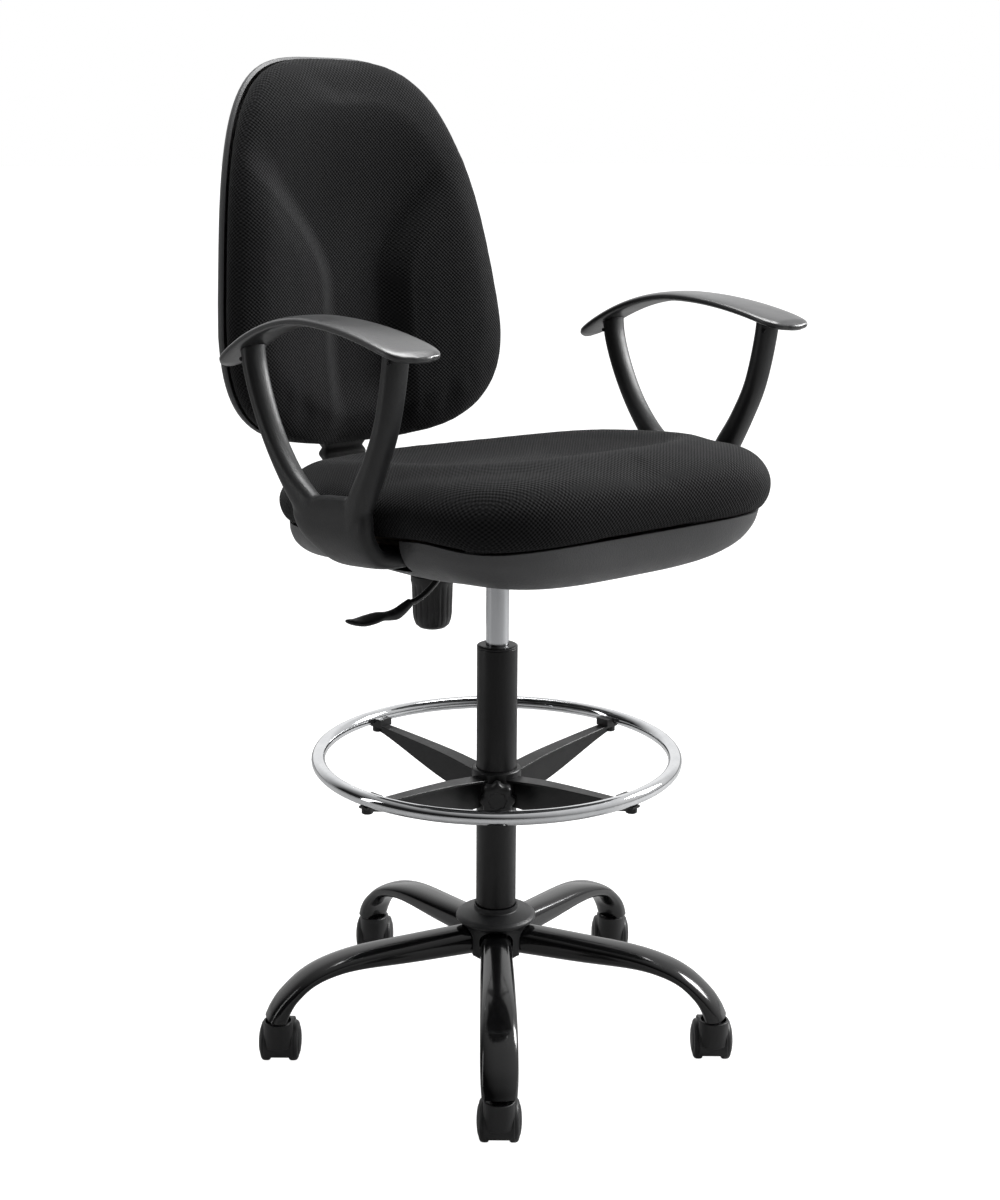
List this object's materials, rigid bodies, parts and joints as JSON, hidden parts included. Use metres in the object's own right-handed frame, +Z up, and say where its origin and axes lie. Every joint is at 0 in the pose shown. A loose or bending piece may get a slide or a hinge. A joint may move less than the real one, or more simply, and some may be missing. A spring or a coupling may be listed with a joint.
{
  "type": "drafting chair",
  "caption": "Armed swivel drafting chair with a contoured back, dished seat, gas lift, height-set foot ring and a star base on twin-wheel casters.",
  "frame": {"origin": "on the floor, under the middle of the chair's bounding box", "axes": "+Z up; the sitter faces -Y; the sitter's left is +X"},
  "size_m": [0.623, 0.6516, 1.214],
  "materials": {
    "mesh_fabric": "black spacer-mesh upholstery with a fine honeycomb weave",
    "textured_plastic": "fine-grained black polypropylene",
    "shell_plastic": "grained grey-black polypropylene shell",
    "gloss_black_steel": "gloss black paint on oval steel tube",
    "powder_coat": "semi-gloss black powder coat",
    "chrome": "polished chrome",
    "zinc_steel": "bright zinc plate",
    "nylon": "black nylon",
    "plywood": "bare plywood",
    "rubber": "matt black rubber"
  },
  "bodies": {
    "base": {"base_frame": "gloss_black_steel", "hub_cover": "textured_plastic", "column_tube": "powder_coat", "column_bush": "nylon", "caster_1_stem": "zinc_steel", "caster_2_stem": "zinc_steel", "caster_3_stem": "zinc_steel", "caster_4_stem": "zinc_steel", "caster_5_stem": "zinc_steel"},
    "caster_1": {"caster_1_hood": "nylon", "caster_1_axle": "zinc_steel"},
    "caster_1_left": {"caster_1_wheel_left": "nylon"},
    "caster_1_right": {"caster_1_wheel_right": "nylon"},
    "caster_2": {"caster_2_hood": "nylon", "caster_2_axle": "zinc_steel"},
    "caster_2_left": {"caster_2_wheel_left": "nylon"},
    "caster_2_right": {"caster_2_wheel_right": "nylon"},
    "caster_3": {"caster_3_hood": "nylon", "caster_3_axle": "zinc_steel"},
    "caster_3_left": {"caster_3_wheel_left": "nylon"},
    "caster_3_right": {"caster_3_wheel_right": "nylon"},
    "caster_4": {"caster_4_hood": "nylon", "caster_4_axle": "zinc_steel"},
    "caster_4_left": {"caster_4_wheel_left": "nylon"},
    "caster_4_right": {"caster_4_wheel_right": "nylon"},
    "caster_5": {"caster_5_hood": "nylon", "caster_5_axle": "zinc_steel"},
    "caster_5_left": {"caster_5_wheel_left": "nylon"},
    "caster_5_right": {"caster_5_wheel_right": "nylon"},
    "rod": {"piston_rod": "chrome", "thrust_bearing": "zinc_steel", "rod_clip": "zinc_steel"},
    "seat": {"gas_cylinder": "chrome", "mechanism_housing": "powder_coat", "seat_board": "plywood", "seat_cushion": "mesh_fabric", "seat_shell": "shell_plastic", "arm_frame_left": "textured_plastic", "arm_frame_right": "textured_plastic", "arm_pad_left": "textured_plastic", "arm_pad_right": "textured_plastic", "tension_bolt": "zinc_steel", "tension_spring": "zinc_steel", "back_pivot_pin": "zinc_steel"},
    "lever": {"height_lever": "gloss_black_steel", "lever_paddle": "nylon"},
    "valve": {"gas_valve_pin": "zinc_steel"},
    "knob": {"tension_knob": "textured_plastic"},
    "bar": {"back_bar": "powder_coat", "bar_bellows": "rubber"},
    "back": {"back_cushion": "mesh_fabric", "back_board": "plywood", "back_shell": "shell_plastic"},
    "ring": {"foot_ring": "chrome", "ring_spider": "powder_coat", "ring_clip_1": "nylon", "ring_clip_2": "nylon", "ring_clip_3": "nylon", "ring_clip_4": "nylon"},
    "ring_clamp": {"ring_knob": "nylon"}
  },
  "joints": [
    {"name": "caster_1_swivel", "type": "hinge", "parent": "base", "child": "caster_1", "pos_m": [-0.17885, -0.2729, 0.035], "axis": [0, 0, 1], "continuous": true},
    {"name": "caster_1_roll_left", "type": "hinge", "parent": "caster_1", "child": "caster_1_left", "pos_m": [-0.168, -0.25981, 0.025], "axis": [0.7696, -0.6385, 0], "continuous": true},
    {"name": "caster_1_roll_right", "type": "hinge", "parent": "caster_1", "child": "caster_1_right", "pos_m": [-0.168, -0.25981, 0.025], "axis": [0.7696, -0.6385, 0], "continuous": true},
    {"name": "caster_2_swivel", "type": "hinge", "parent": "base", "child": "caster_2", "pos_m": [0.15235, -0.28736, 0.035], "axis": [0, 0, 1], "continuous": true},
    {"name": "caster_2_roll_left", "type": "hinge", "parent": "caster_2", "child": "caster_2_left", "pos_m": [0.1632, -0.27427, 0.025], "axis": [0.7696, -0.6385, 0], "continuous": true},
    {"name": "caster_2_roll_right", "type": "hinge", "parent": "caster_2", "child": "caster_2_right", "pos_m": [0.1632, -0.27427, 0.025], "axis": [0.7696, -0.6385, 0], "continuous": true},
    {"name": "caster_3_swivel", "type": "hinge", "parent": "base", "child": "caster_3", "pos_m": [0.26844, 0.02316, 0.035], "axis": [0, 0, 1], "continuous": true},
    {"name": "caster_3_roll_left", "type": "hinge", "parent": "caster_3", "child": "caster_3_left", "pos_m": [0.2793, 0.03624, 0.025], "axis": [0.7696, -0.6385, 0], "continuous": true},
    {"name": "caster_3_roll_right", "type": "hinge", "parent": "caster_3", "child": "caster_3_right", "pos_m": [0.2793, 0.03624, 0.025], "axis": [0.7696, -0.6385, 0], "continuous": true},
    {"name": "caster_4_swivel", "type": "hinge", "parent": "base", "child": "caster_4", "pos_m": [0.009, 0.22953, 0.035], "axis": [0, 0, 1], "continuous": true},
    {"name": "caster_4_roll_left", "type": "hinge", "parent": "caster_4", "child": "caster_4_left", "pos_m": [0.01986, 0.24261, 0.025], "axis": [0.7696, -0.6385, 0], "continuous": true},
    {"name": "caster_4_roll_right", "type": "hinge", "parent": "caster_4", "child": "caster_4_right", "pos_m": [0.01986, 0.24261, 0.025], "axis": [0.7696, -0.6385, 0], "continuous": true},
    {"name": "caster_5_swivel", "type": "hinge", "parent": "base", "child": "caster_5", "pos_m": [-0.26744, 0.04656, 0.035], "axis": [0, 0, 1], "continuous": true},
    {"name": "caster_5_roll_left", "type": "hinge", "parent": "caster_5", "child": "caster_5_left", "pos_m": [-0.25659, 0.05964, 0.025], "axis": [0.7696, -0.6385, 0], "continuous": true},
    {"name": "caster_5_roll_right", "type": "hinge", "parent": "caster_5", "child": "caster_5_right", "pos_m": [-0.25659, 0.05964, 0.025], "axis": [0.7696, -0.6385, 0], "continuous": true},
    {"name": "chair_swivel", "type": "hinge", "parent": "base", "child": "rod", "pos_m": [-0.0033, -0.0522, 0.2845], "axis": [0, 0, 1], "continuous": true},
    {"name": "seat_height", "type": "slide", "parent": "rod", "child": "seat", "axis": [0, 0, 1], "range_m": [-0.06, 0.125]},
    {"name": "lever_lift", "type": "hinge", "parent": "seat", "child": "lever", "pos_m": [-0.0613, -0.0322, 0.6315], "axis": [0, 1, 0], "range_deg": [0, 4], "stiffness_Nm_per_rad": 1.5},
    {"name": "valve_press", "type": "slide", "parent": "seat", "child": "valve", "axis": [0, 0, 1], "range_m": [-0.0036, 0], "stiffness_N_per_m": 200},
    {"name": "tension_turn", "type": "hinge", "parent": "seat", "child": "knob", "pos_m": [-0.0033, 0.0778, 0.5445], "axis": [0, 0, 1], "continuous": true},
    {"name": "back_recline", "type": "hinge", "parent": "seat", "child": "bar", "pos_m": [-0.0033, 0.0278, 0.6205], "axis": [-1, 0, 0], "range_deg": [0, 12], "stiffness_Nm_per_rad": 150, "springref_deg": -11.46, "deforming": ["tension_spring"]},
    {"name": "back_height", "type": "slide", "parent": "bar", "child": "back", "axis": [0, 0.0519, 0.9987], "range_m": [0, 0.06]},
    {"name": "ring_height", "type": "slide", "parent": "base", "child": "ring", "axis": [0, 0, 1], "range_m": [-0.09, 0.1]},
    {"name": "ring_clamp_turn", "type": "hinge", "parent": "ring", "child": "ring_clamp", "pos_m": [-0.03113, -0.08756, 0.3315], "axis": [-0.6184, -0.7859, 0], "continuous": true}
  ],
  "couplings": [
    {"joint": "valve_press", "follows": "lever_lift", "m_per_rad": -0.0501}
  ]
}
